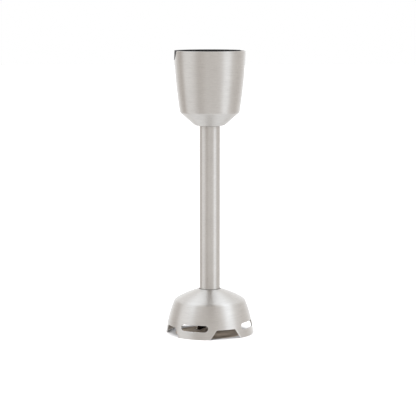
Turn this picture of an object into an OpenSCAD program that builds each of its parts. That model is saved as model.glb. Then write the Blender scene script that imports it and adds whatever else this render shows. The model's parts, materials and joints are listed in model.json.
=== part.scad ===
// Detachable blending arm of an immersion blender: a steel socket cup that the motor handle plugs
// into, a long steel tube and a blade guard with slots and notches, around a spinning drive shaft
// that carries a sprung drive coupling at the top and a two-winged blade at the bottom.
// Millimetres, +Z up along the shaft. The origin is on the axis, in the plane of the guard's feet.

/* [Overall] */
// Height from the feet of the blade guard to the top of the socket
total_h = 235; // [225:1:250]
// Gap left between two pieces that are fixed to each other
fixed_gap = 0.05; // [0.03:0.01:0.08]
// Radial running clearance of the shaft in its bushes
running_gap = 0.03; // [0.02:0.01:0.06]

/* [Coupling cup] */
// Outer radius of the cup at its rim
cup_rim_r = 29.5; // [29.2:0.1:30.5]
// Outer radius of the cup where the wall turns into the base cone
cup_waist_r = 24.6; // [24.4:0.1:25]
// Height of the whole cup
cup_h = 61.5; // [60:0.5:64]
// Height of the base cone
cup_cone_h = 10.8; // [10.4:0.1:11.2]
// Outer radius of the flat ring under the cup
cup_base_r = 12.2; // [12:0.1:12.6]
// Thickness of the cup's steel sheet
cup_sheet = 0.7; // [0.6:0.05:0.75]
// Radius of the round dip in the rim
dip_r = 12.2; // [11:0.1:13]
// Depth of the round dip in the rim
dip_depth = 7.9; // [6:0.1:9]

/* [Socket liner] */
// Radius of the bore that takes the motor handle
socket_r = 26.4; // [25.8:0.1:26.6]
// Depth of that bore
socket_depth = 16; // [12:0.5:18]
// Depth of the relief in the liner's rim, opposite the dip
relief_depth = 1.5; // [1:0.1:2.5]
// Half width of that relief
relief_half_w = 13.4; // [10:0.1:14]
// Number of screws that hold the liner
screw_count = 3; // [3:1:4]

/* [Tube] */
// Outer radius of the tube
tube_r = 8.6; // [8.5:0.05:8.7]
// Wall thickness of the tube
tube_wall = 0.8; // [0.7:0.05:0.9]

/* [Blade guard] */
// Outer radius at the feet
guard_r = 36.5; // [36:0.1:37.5]
// Height of the guard where the tube enters it
guard_h = 37.4; // [37.2:0.1:38]
// Thickness of the guard's steel sheet
guard_sheet = 0.9; // [0.8:0.05:1]
// Number of feet, each with one slot, and of notches between them
feet = 4; // [3:1:4]
// Direction of the first foot, from +X towards +Y
foot_turn = -112; // [-135:1:-90]
// Length of a slot
slot_len = 23.8; // [18:0.1:25]
// Height of a slot
slot_h = 5.25; // [4.5:0.05:6]
// Height of a slot's middle above the feet
slot_z = 9.1; // [8.6:0.1:10]
// Half width of a notch at the feet
notch_foot_w = 14; // [12:0.1:15]
// Half width of a notch at its top
notch_top_w = 8.2; // [6:0.1:9]
// Height of a notch
notch_h = 8; // [6:0.1:9]

/* [Drive shaft and blade] */
// Radius of the drive shaft
shaft_r = 3; // [2.8:0.05:3.1]
// Radius of the blade's circle
blade_r = 25; // [23:0.5:27]
// Thickness of the blade
blade_t = 1.4; // [1.2:0.1:1.6]
// Bend of each wing, down on one side and up on the other, in degrees
blade_bend = 23; // [15:1:25]
// Direction of the wing that bends down, from +X towards +Y
blade_turn = -111; // [-180:1:180]
// Outer radius of the drive coupling
coupling_r = 8.2; // [7.8:0.1:8.5]
// Number of teeth inside the drive coupling
coupling_teeth = 6; // [4:1:8]

/* [Hidden] */
$fn = 96;

steel = [0.76, 0.75, 0.73];
black = [0.06, 0.06, 0.06];
bronze = [0.66, 0.47, 0.26];
grey = [0.55, 0.56, 0.57];

over = 1;          // how far a cut runs past what it cuts
joined = 0.1;      // how far two solids of one piece run into each other
face_gap = 0.1;    // between stacked pieces, and between the cup's sheet and what is in it
fillet_steps = 5;  // straight steps in each rounded corner

// Cup
cup_lip = 0.3;                        // how far the liner stands above the cup's rim
cup_rim_z = total_h - cup_lip;
cup_z = total_h - cup_lip - cup_h;    // underside of the cup
cup_waist_z = cup_z + cup_cone_h;
cup_bulge = 0.82;                     // how far the wall bows out between waist and rim
cup_wall_steps = 9;                   // straight steps in that wall
cup_waist_fillet = 2.4;               // radii of the bends at the waist and at the base
cup_base_fillet = 3;
dip_z = cup_rim_z - dip_depth + dip_r;

// Tube
tube_bore_r = tube_r - tube_wall;
tube_bottom_z = guard_h - 2.4;
tube_top_z = cup_z + cup_sheet + fixed_gap;
plug_r = tube_bore_r - fixed_gap;     // what is pressed into the tube

// Guard's outline: a dome and a skirt, which are arcs with their centres at dome_c and skirt_c
dome_r = 81;
dome_c = [-13, guard_h - 78.1];
dome_top_a = 75;                      // angle where the dome starts, inside the tube's hole
dome_steps = 5;
skirt_r = 100;
skirt_c = [guard_r - 99.5, -10];
skirt_foot_a = 4;                     // angle where the skirt ends, below the feet
skirt_steps = 7;
shoulder = [guard_r - 7.05, 28.15];   // where the two meet
shoulder_fillet = 5;
foot_cut = 5;                         // depth of what is cut off below the feet
notch_flare = 6;                      // how far a notch's outline runs on along the feet
notch_foot_fillet = 1.5;
notch_top_fillet = 1.6;

// Upper bearing housing, from its spigot in the tube to its flange in the cup's cone
upper_top_z = cup_z + 14.1;
upper_spigot_z = cup_z - 22;
upper_flange_r = 23.2;
upper_step_r = 11.3;
upper_floor_z = cup_z + cup_sheet + face_gap;
upper_ring_z = cup_z - 15;
bush_r = 5.2;
bush_len = 14;
housing_bore_r = shaft_r + 0.6;       // clears the shaft beside a bush
edge = 0.6;                           // bevel on the pieces that are pressed into the tube

// Rubber rings that seal those pieces in the tube
ring_wire_r = 0.8;
ring_r = plug_r - ring_wire_r - fixed_gap;
ring_groove_r = ring_r - ring_wire_r - fixed_gap;
ring_groove_w = 2;

// Socket liner
floor_z = upper_top_z + face_gap;
floor_t = 2.6;
chimney_r = 11.4;
chimney_bore_r = 9.4;
chimney_top_z = floor_z + 26.6;
cone_top_r = 25.6;                    // the socket's lower, tapering part
cone_bottom_r = 22.4;
screw_ring_r = 16.6;
screw_r = 1.5;
screw_gap = 0.15;                     // round a screw in the liner's floor
screw_head_r = 2.8;
screw_head_taper = 0.5;
screw_head_h = 2;
recess_len = 3.6;                     // cross recess in a screw's head
recess_w = 0.7;
recess_depth = 1.2;
screw_len = 8.5;
screw_hole_depth = 6.2;
window_w = 10;                        // the two windows where the motor handle's latches catch
window_h = 5;
window_z = floor_z + 16;
window_in_r = 20;                     // distance from the axis where their cuts start
rib_count = 6;                        // guide ribs in the tapering part
rib_h = 19;
rib_w = 1.8;
rib_reach = 1.6;                      // how far a rib stands in from the foot of the taper
rib_sink = 0.5;                       // how far it is sunk into the wall and the floor
pad_in_r = cup_rim_r - 1.5;           // radii of the pad that fills the dip in the cup's rim
pad_foot_r = cup_rim_r - 0.15;
pad_top_r = cup_rim_r - 0.45;
pad_gap = 0.2;

// Stack on the upper end of the shaft, from the upper bush upwards
washer_t = 0.6;
clip_t = 0.8;
stack_gap = 0.05;
clip_groove_depth = 0.6;
clip_play = 0.03;                     // of a clip in its groove, up and down
clip_mouth = 2.4;                     // gap in the round of a clip
washer_r = 5.6;
washer_gap = 0.1;                     // round the shaft
seat_r = washer_r + 0.4;
lower_clip_r = washer_r - 0.2;
coupling_clip_r = shaft_r + 1.4;
upper_washer_z = upper_top_z + stack_gap;
upper_clip_z = upper_washer_z + washer_t + stack_gap;
seat_z = upper_clip_z + clip_t + stack_gap;
spring_z = seat_z + washer_t;
spring_len = 6.5;
spring_wire_r = 0.4;
spring_r = 4.8;
spring_turns = 4;
coupling_z = spring_z + spring_len;
coupling_web = 7;
coupling_h = 16;
coupling_bore_r = 6.4;
tooth_w = 2.2;
tooth_h = 7;
hub_insert_r = 5.1;
flat_r = 2.3;                         // from the axis to each flat on the shaft's upper end
flat_len = 30;
flat_z = spring_z + 1;
coupling_clip_z = coupling_z + coupling_web + stack_gap;
shaft_top_z = coupling_clip_z + clip_t + 1.8;
shaft_chamfer = 0.6;

// Lower bearing housing and what it holds, from the seal upwards
lower_z = 19;
lower_r = 10.4;
lower_flange_r = 12.6;
lower_flange_z = guard_h - 4.4;
lower_flange_t = 1.3;
lower_flange_taper = 2;               // height of the taper under the flange
lower_spigot_top_z = 60;
lower_ring_z = lower_spigot_top_z - 7;
seal_r = 8;
seal_z = lower_z + 1.3;
seal_t = 4;
seal_wall = 1.2;                      // thickness of the seal's outer wall and of its floor
lip_t = 1.3;                          // thickness of its lip, which bears on the shaft
lip_groove = 0.5;                     // depth of the groove round the lip, where its spring sits
lip_edge = 0.4;                       // height of the lip above the groove
garter_r = shaft_r + running_gap + lip_t + 0.15;
garter_wire_r = 0.35;
garter_z = seal_z + 2.4;
retainer_z = lower_z + 0.2;
retainer_bore_r = shaft_r + 1;
retainer_t = 1;
lower_clip_z = seal_z + seal_t + 0.3;
lower_washer_z = lower_clip_z + clip_t + stack_gap;
lower_bush_z = lower_washer_z + washer_t + stack_gap;

// Blade and what fixes it
blade_z = 8.9;                        // underside of the blade's flat middle
blade_bend_r = 14;
blade_root_w = 5.4;                   // half widths of a wing
blade_bend_w = 4.5;
blade_boss_r = 6.6;
// outline of a wing past its bend, in parts of its reach and of its half width
blade_tip = [[0, -1], [0.98, -0.92], [0.9, 0.1], [0.55, 0.9], [0, 1]];
hub_z = blade_z + blade_t + face_gap;
hub_top_z = lower_z - 1;
hub_r = 5.4;
hub_flange_r = 6.2;
hub_flange_h = 2.2;
hub_chamfer = 0.5;
stub_r = 2.5;                         // threaded lower end of the shaft
stub_gap = 0.1;                       // between the stub and what is threaded onto it
nut_r = 4.6;
nut_h = 3.2;
nut_bore_end = 0.8;                   // how far the nut's bore runs on below its hexagon
nut_dome_r = 3.7;                     // radii of the nut's closed end
nut_tip_r = 2.4;
nut_dome_h = 1.1;
blade_washer_r = nut_r + 0.6;
blade_washer_t = 0.8;
stub_z = blade_z - blade_washer_t - nut_h;

// Guide half-way up the tube
middle_z = (cup_z + guard_h) / 2;
middle_len = 16;
middle_bush_r = 4.8;
middle_bush_len = 12;
middle_ring_offset = 5;

function unit(v) = v / norm(v);
function reversed(v) = [for (i = [len(v) - 1:-1:0]) v[i]];

// n straight steps along the arc of radius r around c, from angle a0 to angle a1
function arc(c, r, a0, a1, n) =
  [for (i = [0:n]) let (a = a0 + (a1 - a0) * i / n) c + r * [cos(a), sin(a)]];

// The corner p of a path that comes from a and goes on to b, rounded to radius r
function corner(a, p, b, r) =
  let (
    u = unit(a - p), v = unit(b - p), half = acos(u * v) / 2,
    c = p + unit(u + v) * r / sin(half), s = p + u * r / tan(half) - c,
    e = p + v * r / tan(half) - c, w = 180 - 2 * half
  )
  [for (i = [0:fillet_steps]) let (t = i / fillet_steps)
    c + (sin((1 - t) * w) * s + sin(t * w) * e) / sin(w)];

// A closed outline whose corners are rounded to the radii given for them
function rounded(path, radii) =
  let (n = len(path))
  [for (i = [0:n - 1])
    each radii[i] == 0 ? [path[i]] : corner(path[(i + n - 1) % n], path[i], path[(i + 1) % n], radii[i])];

// Normal on the right of the way from a to b
function right_of(a, b) = let (d = unit(b - a)) [d.y, -d.x];

// An open path moved t to its right
function moved_right(p, t) =
  let (last = len(p) - 1)
  [for (i = [0:last])
    let (
      n0 = right_of(p[max(i - 1, 0)], p[max(i, 1)]),
      n1 = right_of(p[min(i, last - 1)], p[min(i + 1, last)])
    )
    p[i] + t * (n0 + n1) / (1 + n0 * n1)];

// Turned solid with the half section given
module turned(section) { rotate_extrude() polygon(section); }

// Sheet of thickness t on the right of a path from the top down, spun round the axis
module spun_sheet(path, t) { turned(concat(path, reversed(moved_right(path, t)))); }

module ring(r_in, r_out, z, h) {
  translate([0, 0, z]) difference() {
    cylinder(r = r_out, h = h);
    translate([0, 0, -over]) cylinder(r = r_in, h = h + 2 * over);
  }
}

// Hole for the tube from height z0 to z1
module tube_hole(z0, z1) { translate([0, 0, z0]) cylinder(r = tube_r + fixed_gap, h = z1 - z0); }

module round_ring(r, wire_r, z) {
  translate([0, 0, z]) rotate_extrude() translate([r, 0]) circle(r = wire_r, $fn = 24);
}

// Rubber ring round a piece in the tube, and the groove that it sits in
module o_ring(z) { color(black) round_ring(ring_r, ring_wire_r, z); }
module o_ring_groove(z) { ring(ring_groove_r, plug_r + over, z - ring_groove_w / 2, ring_groove_w); }

// Open snap ring that sits in a groove of the shaft
module snap_ring(z, r_out) {
  difference() {
    ring(shaft_r - clip_groove_depth + stack_gap, r_out, z, clip_t);
    translate([0, -clip_mouth / 2, z - over]) cube([r_out + over, clip_mouth, clip_t + 2 * over]);
  }
}

// ---- Housing ----

// Radius of the cup's outside at height z: a straight taper from waist to rim that bows out
function cup_r(z) =
  let (t = (z - cup_waist_z) / (cup_rim_z - cup_waist_z))
  cup_waist_r + (cup_rim_r - cup_waist_r) * t + 4 * cup_bulge * t * (1 - t);

// The cup's outside wall from its rim down to height z1
function cup_wall(z1) =
  [for (i = [0:cup_wall_steps]) let (z = cup_rim_z + (z1 - cup_rim_z) * i / cup_wall_steps) [cup_r(z), z]];

// The cup's outside from its rim over the base and into the tube's hole
function cup_path() =
  let (
    last = cup_wall_steps - 1, wall = cup_wall(cup_waist_z), waist = wall[cup_wall_steps],
    base = [cup_base_r, cup_z], end = [tube_r - 2 * over, cup_z]
  )
  concat(
    [for (i = [0:last]) wall[i]], corner(wall[last], waist, base, cup_waist_fillet),
    corner(waist, base, end, cup_base_fillet), [end]
  );

module coupling_cup() {
  color(steel) difference() {
    spun_sheet(cup_path(), cup_sheet);
    tube_hole(cup_z - over, cup_z + cup_sheet + over);
    translate([0, 0, dip_z]) rotate([0, -90, 0]) cylinder(r = dip_r, h = cup_rim_r + over);
  }
}

module outer_tube() {
  color(steel) ring(tube_bore_r, tube_r, tube_bottom_z, tube_top_z - tube_bottom_z);
}

// The guard's outside, from inside the tube's hole over the dome and down the skirt past the feet
function guard_path() =
  let (
    dome_end_a = acos((shoulder.x - dome_c.x) / dome_r),
    skirt_top_a = asin((shoulder.y - skirt_c.y) / skirt_r),
    dome = arc(dome_c, dome_r, dome_top_a, dome_end_a, dome_steps), last = dome_steps - 1,
    skirt = arc(skirt_c, skirt_r, skirt_top_a, skirt_foot_a, skirt_steps)
  )
  concat(
    [for (i = [0:last]) dome[i]], corner(dome[last], shoulder, skirt[1], shoulder_fillet),
    [for (i = [1:skirt_steps]) skirt[i]]
  );

module slot_cut() {
  half = slot_len / 2 - slot_h / 2;
  rotate([90, 0, 90]) linear_extrude(guard_r + over) union() {
    translate([-half, slot_z - slot_h / 2]) square([2 * half, slot_h]);
    for (x = [-half, half]) translate([x, slot_z]) circle(d = slot_h, $fn = 32);
  }
}

module notch_cut() {
  end_w = notch_foot_w + notch_flare;
  outline = rounded(
    [
      [-end_w, -over], [-end_w, 0], [-notch_foot_w, 0], [-notch_top_w, notch_h],
      [notch_top_w, notch_h], [notch_foot_w, 0], [end_w, 0], [end_w, -over]
    ],
    [0, 0, notch_foot_fillet, notch_top_fillet, notch_top_fillet, notch_foot_fillet, 0, 0]
  );
  rotate([90, 0, 90]) linear_extrude(guard_r + over) polygon(outline);
}

module blade_guard() {
  color(steel) difference() {
    spun_sheet(guard_path(), guard_sheet);
    tube_hole(guard_h - guard_sheet - over, guard_h + over);
    translate([0, 0, -foot_cut]) cylinder(r = guard_r + over, h = foot_cut);
    for (i = [0:feet - 1]) rotate(foot_turn + i * 360 / feet) {
      slot_cut();
      rotate(180 / feet) notch_cut();
    }
  }
}

module at_screws() {
  for (i = [0:screw_count - 1]) rotate(90 + i * 360 / screw_count)
    translate([screw_ring_r, 0, 0]) children();
}

module socket_liner() {
  outside = moved_right(cup_wall(floor_z), cup_sheet + face_gap);
  section = concat(
    [[socket_r, total_h], [outside[0].x, total_h]],
    [for (i = [1:cup_wall_steps - 1]) outside[i]],
    [
      [outside[cup_wall_steps].x - face_gap, floor_z], [chimney_bore_r, floor_z],
      [chimney_bore_r, chimney_top_z], [chimney_r, chimney_top_z], [chimney_r, floor_z + floor_t],
      [cone_bottom_r, floor_z + floor_t], [cone_top_r, total_h - socket_depth],
      [socket_r, total_h - socket_depth]
    ]
  );
  color(black) {
    difference() {
      turned(section);
      // relief in the rim, opposite the dip
      translate([cup_rim_r / 2, -relief_half_w, total_h - relief_depth])
        cube([cup_rim_r, 2 * relief_half_w, relief_depth + over]);
      for (side = [-1, 1]) translate([0, side * cup_rim_r, window_z + window_h / 2])
        cube([window_w, 2 * (cup_rim_r - window_in_r), window_h], center = true);
      at_screws() translate([0, 0, floor_z - over])
        cylinder(r = screw_r + screw_gap, h = floor_t + 2 * over, $fn = 32);
    }
    // pad that fills the dip in the cup's rim
    intersection() {
      turned([
        [pad_in_r, dip_z - dip_r], [pad_foot_r, dip_z - dip_r], [pad_top_r, total_h], [pad_in_r, total_h]
      ]);
      translate([0, 0, dip_z]) rotate([0, -90, 0]) cylinder(r = dip_r - pad_gap, h = cup_rim_r + over);
    }
    for (i = [0:rib_count - 1]) rotate(i * 360 / rib_count)
      translate([cone_bottom_r - rib_reach, -rib_w / 2, floor_z + floor_t - rib_sink])
        cube([rib_reach + rib_sink, rib_w, rib_h]);
  }
}

module liner_screws() {
  top = floor_z + floor_t;
  color(grey) at_screws() difference() {
    union() {
      translate([0, 0, top])
        cylinder(r1 = screw_head_r, r2 = screw_head_r - screw_head_taper, h = screw_head_h, $fn = 32);
      translate([0, 0, top - screw_len]) cylinder(r = screw_r, h = screw_len + joined, $fn = 32);
    }
    for (a = [0, 90]) rotate(a)
      translate([-recess_len / 2, -recess_w / 2, top + screw_head_h - recess_depth])
        cube([recess_len, recess_w, recess_depth + over]);
  }
}

// ---- Bearings and seals ----

module upper_bearing_housing() {
  color(grey) difference() {
    turned([
      [housing_bore_r, upper_spigot_z], [plug_r - edge, upper_spigot_z], [plug_r, upper_spigot_z + edge],
      [plug_r, upper_floor_z], [upper_step_r, upper_floor_z], [upper_flange_r, cup_waist_z],
      [upper_flange_r, upper_top_z], [bush_r + fixed_gap, upper_top_z],
      [bush_r + fixed_gap, upper_top_z - bush_len], [housing_bore_r, upper_top_z - bush_len]
    ]);
    o_ring_groove(upper_ring_z);
    at_screws() translate([0, 0, upper_top_z - screw_hole_depth])
      cylinder(r = screw_r + fixed_gap, h = screw_hole_depth + over, $fn = 32);
  }
}

module bush(z, len, r_out) { color(bronze) ring(shaft_r + running_gap, r_out, z, len); }

module upper_bush() { bush(upper_top_z - bush_len + stack_gap, bush_len - stack_gap, bush_r); }

module upper_o_ring() { o_ring(upper_ring_z); }

module middle_guide() {
  color(grey) difference() {
    ring(housing_bore_r, plug_r, middle_z - middle_len / 2, middle_len);
    translate([0, 0, middle_z - middle_bush_len / 2])
      cylinder(r = middle_bush_r + fixed_gap, h = middle_len);
    for (side = [-1, 1]) o_ring_groove(middle_z + side * middle_ring_offset);
  }
}

module middle_o_rings() { for (side = [-1, 1]) o_ring(middle_z + side * middle_ring_offset); }

module middle_bush() { bush(middle_z - middle_bush_len / 2 + stack_gap, middle_bush_len, middle_bush_r); }

module lower_bearing_housing() {
  pocket_r = washer_r + 0.3;
  bush_top_z = lower_bush_z + bush_len + face_gap;
  color(black) difference() {
    turned([
      [seal_r + fixed_gap, lower_z], [lower_r - edge, lower_z], [lower_r, lower_z + edge],
      [lower_r, lower_flange_z - lower_flange_taper], [lower_flange_r, lower_flange_z],
      [lower_flange_r, lower_flange_z + lower_flange_t],
      [plug_r, lower_flange_z + lower_flange_t], [plug_r, lower_spigot_top_z - edge],
      [plug_r - edge, lower_spigot_top_z], [housing_bore_r, lower_spigot_top_z],
      [housing_bore_r, bush_top_z], [bush_r + fixed_gap, bush_top_z],
      [bush_r + fixed_gap, lower_bush_z], [pocket_r, lower_bush_z], [pocket_r, seal_z + seal_t],
      [seal_r + fixed_gap, seal_z + seal_t]
    ]);
    o_ring_groove(lower_ring_z);
  }
}

module lower_bush() { bush(lower_bush_z + stack_gap, bush_len, bush_r); }

module lower_o_ring() { o_ring(lower_ring_z); }

// Lip seal: a shell with a lip that bears on the shaft, open at the top where its spring sits
module shaft_seal() {
  bore_r = shaft_r + running_gap;
  lip_r = bore_r + lip_t;
  floor_top_z = seal_z + seal_wall;
  top_z = seal_z + seal_t - stack_gap;
  color(black) turned([
    [bore_r, seal_z], [seal_r, seal_z], [seal_r, top_z], [seal_r - seal_wall, top_z],
    [seal_r - seal_wall, floor_top_z], [lip_r, floor_top_z], [lip_r, garter_z - lip_groove],
    [lip_r - lip_groove, garter_z], [lip_r, garter_z + lip_groove],
    [lip_r, garter_z + lip_groove + lip_edge], [bore_r, garter_z + lip_edge]
  ]);
}

module seal_garter_spring() { color(steel) round_ring(garter_r, garter_wire_r, garter_z); }

module seal_retainer() { color(steel) ring(retainer_bore_r, seal_r, retainer_z, retainer_t); }

// ---- Drive train ----

module clip_groove(z) {
  ring(shaft_r - clip_groove_depth, shaft_r + over, z - clip_play, clip_t + 2 * clip_play);
}

module drive_shaft() {
  color(steel) difference() {
    turned([
      [0, stub_z - shaft_chamfer], [stub_r - shaft_chamfer, stub_z - shaft_chamfer], [stub_r, stub_z],
      [stub_r, hub_z], [shaft_r, hub_z], [shaft_r, shaft_top_z - shaft_chamfer],
      [shaft_r - shaft_chamfer, shaft_top_z], [0, shaft_top_z]
    ]);
    for (z = [upper_clip_z, lower_clip_z, coupling_clip_z]) clip_groove(z);
    // two flats that drive the coupling and let it slide
    for (side = [0, 180]) rotate(side) translate([flat_r, -shaft_r, flat_z])
      cube([shaft_r, 2 * shaft_r, flat_len]);
  }
}

module washer(z, r_out = washer_r) { ring(shaft_r + washer_gap, r_out, z, washer_t); }

module upper_thrust_washer() { color(steel) washer(upper_washer_z); }

module upper_circlip() { color(steel) snap_ring(upper_clip_z, washer_r); }

module spring_seat() { color(steel) washer(seat_z, seat_r); }

module lower_thrust_washer() { color(steel) washer(lower_washer_z); }

module lower_circlip() { color(steel) snap_ring(lower_clip_z, lower_clip_r); }

module coupling_clip() { color(steel) snap_ring(coupling_clip_z, coupling_clip_r); }

// Helical wire swept as one closed polyhedron
module coupling_spring() {
  sides = 8;
  per_turn = 20;
  steps = spring_turns * per_turn;
  rise = spring_len - 2 * spring_wire_r - 2 * stack_gap;
  points = [for (i = [0:steps], k = [0:sides - 1])
    let (a = i * 360 / per_turn, b = k * 360 / sides, r = spring_r + spring_wire_r * cos(b))
    [r * cos(a), r * sin(a), spring_z + stack_gap + spring_wire_r * (1 + sin(b)) + rise * i / steps]];
  tube_faces = [for (i = [0:steps - 1], k = [0:sides - 1])
    let (n = (k + 1) % sides)
    [i * sides + k, (i + 1) * sides + k, (i + 1) * sides + n, i * sides + n]];
  ends = [[for (k = [0:sides - 1]) k], [for (k = [sides - 1:-1:0]) steps * sides + k]];
  color(steel) polyhedron(points, concat(tube_faces, ends));
}

module blade_hub() {
  color(steel) turned([
    [shaft_r + fixed_gap, hub_z], [hub_flange_r, hub_z], [hub_flange_r, hub_z + hub_flange_h],
    [hub_r, hub_z + hub_flange_h + hub_flange_r - hub_r], [hub_r, hub_top_z - hub_chamfer],
    [hub_r - hub_chamfer, hub_top_z], [shaft_r + fixed_gap, hub_top_z]
  ]);
}

// One wing along +X: a flat root and a tip that is bent by turn degrees, up when it is negative
module wing(turn) {
  reach = blade_r - blade_bend_r;
  translate([0, 0, -blade_t / 2]) linear_extrude(blade_t) polygon([
    [0, -blade_root_w], [blade_bend_r, -blade_bend_w], [blade_bend_r, blade_bend_w], [0, blade_root_w]
  ]);
  translate([blade_bend_r, 0, 0]) rotate([0, turn, 0]) translate([0, 0, -blade_t / 2])
    linear_extrude(blade_t) polygon([for (p = blade_tip) [p.x * reach, p.y * blade_bend_w]]);
  translate([blade_bend_r, 0, 0]) rotate([90, 0, 0])
    cylinder(r = blade_t / 2, h = 2 * blade_bend_w, center = true, $fn = 24);
}

module blade() {
  color(steel) translate([0, 0, blade_z + blade_t / 2]) rotate(blade_turn) difference() {
    union() {
      wing(blade_bend);
      rotate(180) wing(-blade_bend);
      cylinder(r = blade_boss_r, h = blade_t, center = true);
    }
    cylinder(r = stub_r + stub_gap, h = blade_t + 2 * over, center = true);
  }
}

module blade_washer() {
  z = blade_z - blade_washer_t - stack_gap;
  color(steel) ring(stub_r + stub_gap, blade_washer_r, z, blade_washer_t);
}

// Acorn nut: a hexagon with a bore that a tapered end closes
module blade_nut() {
  z = stub_z - 2 * stack_gap;
  color(steel) difference() {
    union() {
      translate([0, 0, z]) cylinder(r = nut_r, h = nut_h, $fn = 6);
      translate([0, 0, z - nut_dome_h]) cylinder(r1 = nut_tip_r, r2 = nut_dome_r, h = nut_dome_h + joined);
    }
    translate([0, 0, z - nut_bore_end]) cylinder(r = stub_r + stub_gap, h = nut_h + nut_bore_end + over);
  }
}

// ---- Sprung coupling ----

// Round bar with the shaft's two flats, wider by gap
module flatted(gap, h) {
  intersection() {
    cylinder(r = shaft_r + gap, h = h);
    translate([-flat_r - gap, -shaft_r - over, 0]) cube([2 * (flat_r + gap), 2 * (shaft_r + over), h]);
  }
}

module coupling_hub() {
  color(steel) translate([0, 0, coupling_z]) difference() {
    cylinder(r = hub_insert_r, h = coupling_web);
    translate([0, 0, -over]) flatted(running_gap, coupling_web + 2 * over);
  }
}

module drive_coupling() {
  color(black) translate([0, 0, coupling_z]) difference() {
    cylinder(r = coupling_r, h = coupling_h);
    translate([0, 0, -over]) cylinder(r = hub_insert_r + fixed_gap, h = coupling_h);
    translate([0, 0, coupling_web]) difference() {
      cylinder(r = coupling_bore_r, h = coupling_h);
      for (i = [0:coupling_teeth - 1]) rotate(i * 360 / coupling_teeth)
        translate([hub_insert_r + fixed_gap, -tooth_w / 2, -over])
          cube([coupling_bore_r, tooth_w, tooth_h + over]);
    }
  }
}

coupling_cup();
socket_liner();
liner_screws();
outer_tube();
blade_guard();
upper_bearing_housing();
upper_bush();
upper_o_ring();
middle_guide();
middle_o_rings();
middle_bush();
lower_bearing_housing();
lower_bush();
lower_o_ring();
shaft_seal();
seal_garter_spring();
seal_retainer();
drive_shaft();
upper_thrust_washer();
upper_circlip();
spring_seat();
coupling_spring();
coupling_clip();
lower_thrust_washer();
lower_circlip();
blade_hub();
blade();
blade_washer();
blade_nut();
coupling_hub();
drive_coupling();
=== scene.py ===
"""Looks of the blending arm of an immersion blender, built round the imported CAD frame.

Metres, +Z up along the shaft, the front is -Y. Sections that are turned on a lathe are (radius, height)
points in millimetres, with a third number where a corner is rounded.
"""
import json
import math

import bpy
from mathutils import Matrix, Vector
from mathutils.geometry import delaunay_2d_cdt


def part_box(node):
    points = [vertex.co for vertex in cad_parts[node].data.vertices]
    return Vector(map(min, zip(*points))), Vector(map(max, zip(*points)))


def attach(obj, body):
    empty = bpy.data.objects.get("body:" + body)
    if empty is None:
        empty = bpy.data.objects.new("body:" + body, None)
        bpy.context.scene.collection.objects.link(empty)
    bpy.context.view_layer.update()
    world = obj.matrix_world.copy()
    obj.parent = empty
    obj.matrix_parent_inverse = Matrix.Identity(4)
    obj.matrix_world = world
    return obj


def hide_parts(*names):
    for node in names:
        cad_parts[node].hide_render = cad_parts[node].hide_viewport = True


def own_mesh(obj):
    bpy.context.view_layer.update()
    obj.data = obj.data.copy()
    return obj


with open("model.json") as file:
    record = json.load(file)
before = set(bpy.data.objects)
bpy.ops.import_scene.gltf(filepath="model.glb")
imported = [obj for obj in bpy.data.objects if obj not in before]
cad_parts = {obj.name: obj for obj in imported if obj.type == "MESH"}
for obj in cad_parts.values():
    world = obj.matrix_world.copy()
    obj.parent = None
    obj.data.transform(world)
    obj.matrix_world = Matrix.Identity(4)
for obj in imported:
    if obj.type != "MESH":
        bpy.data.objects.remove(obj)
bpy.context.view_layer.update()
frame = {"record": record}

MM = 0.001
TAU = 2 * math.pi


# ---------------------------------------------------------------- outlines

def unit(x, y):
    length = math.hypot(x, y)
    return x / length, y / length


def smooth_outline(points, closed=True, step=15):
    """Dense outline through points, as (x, y, normal x, normal y) rows.

    A point (x, y, radius) is a corner rounded to that radius in steps of some degrees, and a point (x, y) lies
    on a smooth curve or ends an open outline. The normals are on the right of the way along the outline.
    """
    rows, count = [], len(points)
    for i, point in enumerate(points):
        before, after = points[i - 1], points[(i + 1) % count]
        if not closed and i == 0:
            before = (2 * point[0] - after[0], 2 * point[1] - after[1])
        if not closed and i == count - 1:
            after = (2 * point[0] - before[0], 2 * point[1] - before[1])
        ux, uy = unit(point[0] - before[0], point[1] - before[1])
        vx, vy = unit(after[0] - point[0], after[1] - point[1])
        turn = math.atan2(ux * vy - uy * vx, ux * vx + uy * vy)
        if len(point) == 2 or abs(turn) < 1e-4:
            tx, ty = unit(ux + vx, uy + vy)
            rows.append((point[0], point[1], ty, -tx))
            continue
        radius = point[2]
        reach = radius * math.tan(abs(turn) / 2)
        side = 1 if turn > 0 else -1
        start = (point[0] - ux * reach, point[1] - uy * reach)
        centre = (start[0] - side * uy * radius, start[1] + side * ux * radius)
        steps = max(2, math.ceil(abs(turn) / math.radians(step)))
        for k in range(steps + 1):
            a = math.atan2(uy, ux) + turn * k / steps
            nx, ny = math.sin(a), -math.cos(a)
            rows.append((centre[0] + side * radius * nx, centre[1] + side * radius * ny, nx, ny))
    return rows


def scaled(points):
    return [tuple(v * MM for v in p) for p in points]


def arc(r, start, end, steps):
    """Points from one angle to another about the origin, both included."""
    angles = (start + (end - start) * k / steps for k in range(steps + 1))
    return [(r * math.cos(a), r * math.sin(a)) for a in angles]


def circle(x, y, r, count=32):
    return [(x + dx, y + dy) for dx, dy in arc(r, 0, TAU, count)[:-1]]


def ring_section(r_in, r_out, z0, z1, bevel=0.12):
    return [(r_in, z0, bevel), (r_out, z0, bevel), (r_out, z1, bevel), (r_in, z1, bevel)]


# ---------------------------------------------------------------- meshes

def added(name, data):
    """New object of the scene."""
    made = bpy.data.objects.new(name, data)
    bpy.context.scene.collection.objects.link(made)
    return made


def around(run, count, start=0.0):
    """Texture coordinates of a ring of vertices and of its first vertex again, a turn further on."""
    return [(start + j / count, run) for j in range(count + 1)]


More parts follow.
